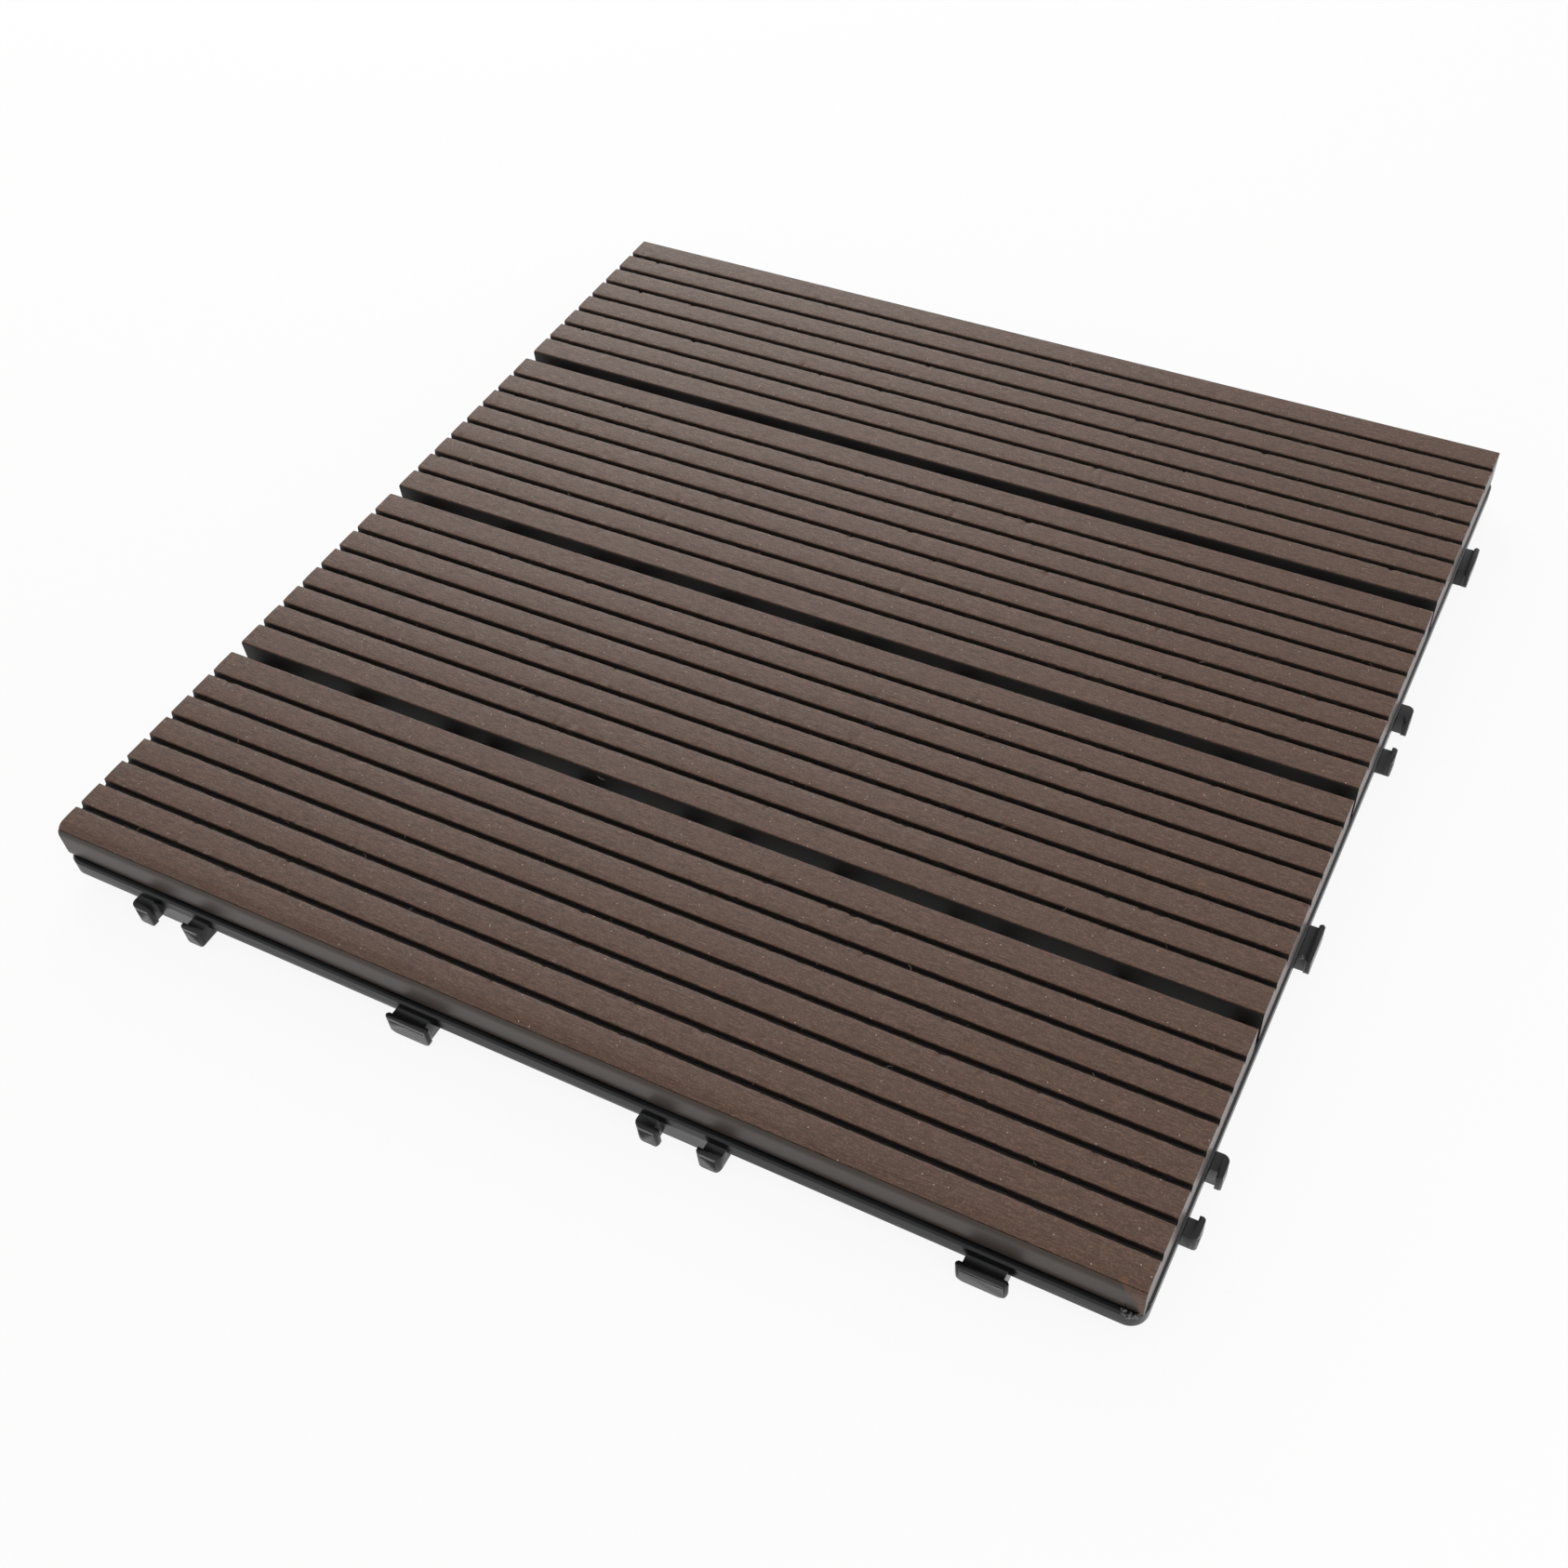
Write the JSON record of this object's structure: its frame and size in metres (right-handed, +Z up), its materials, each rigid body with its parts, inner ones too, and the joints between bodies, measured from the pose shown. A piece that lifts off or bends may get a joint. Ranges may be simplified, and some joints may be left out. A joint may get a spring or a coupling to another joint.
{
  "type": "interlocking deck tile",
  "caption": "Square outdoor floor tile: ribbed wood-plastic slats on a black moulded plastic grid with T-shaped and hooked clips that lock it to its neighbours.",
  "frame": {"origin": "middle of the footprint, on the floor under the feet of the grid", "axes": "+X along the slats, +Y across the slats away from the side shown in front, +Z up"},
  "size_m": [0.307, 0.307, 0.021],
  "materials": {
    "slat_composite": "fine brushed wood-plastic composite, dark brown",
    "grid_plastic": "moulded black plastic, satin",
    "screw_steel": "zinc plated"
  },
  "bodies": {
    "root": {"base_grid": "grid_plastic", "slat_front": "slat_composite", "slat_second": "slat_composite", "slat_third": "slat_composite", "slat_back": "slat_composite", "slat_screws": "screw_steel"}
  },
  "joints": []
}
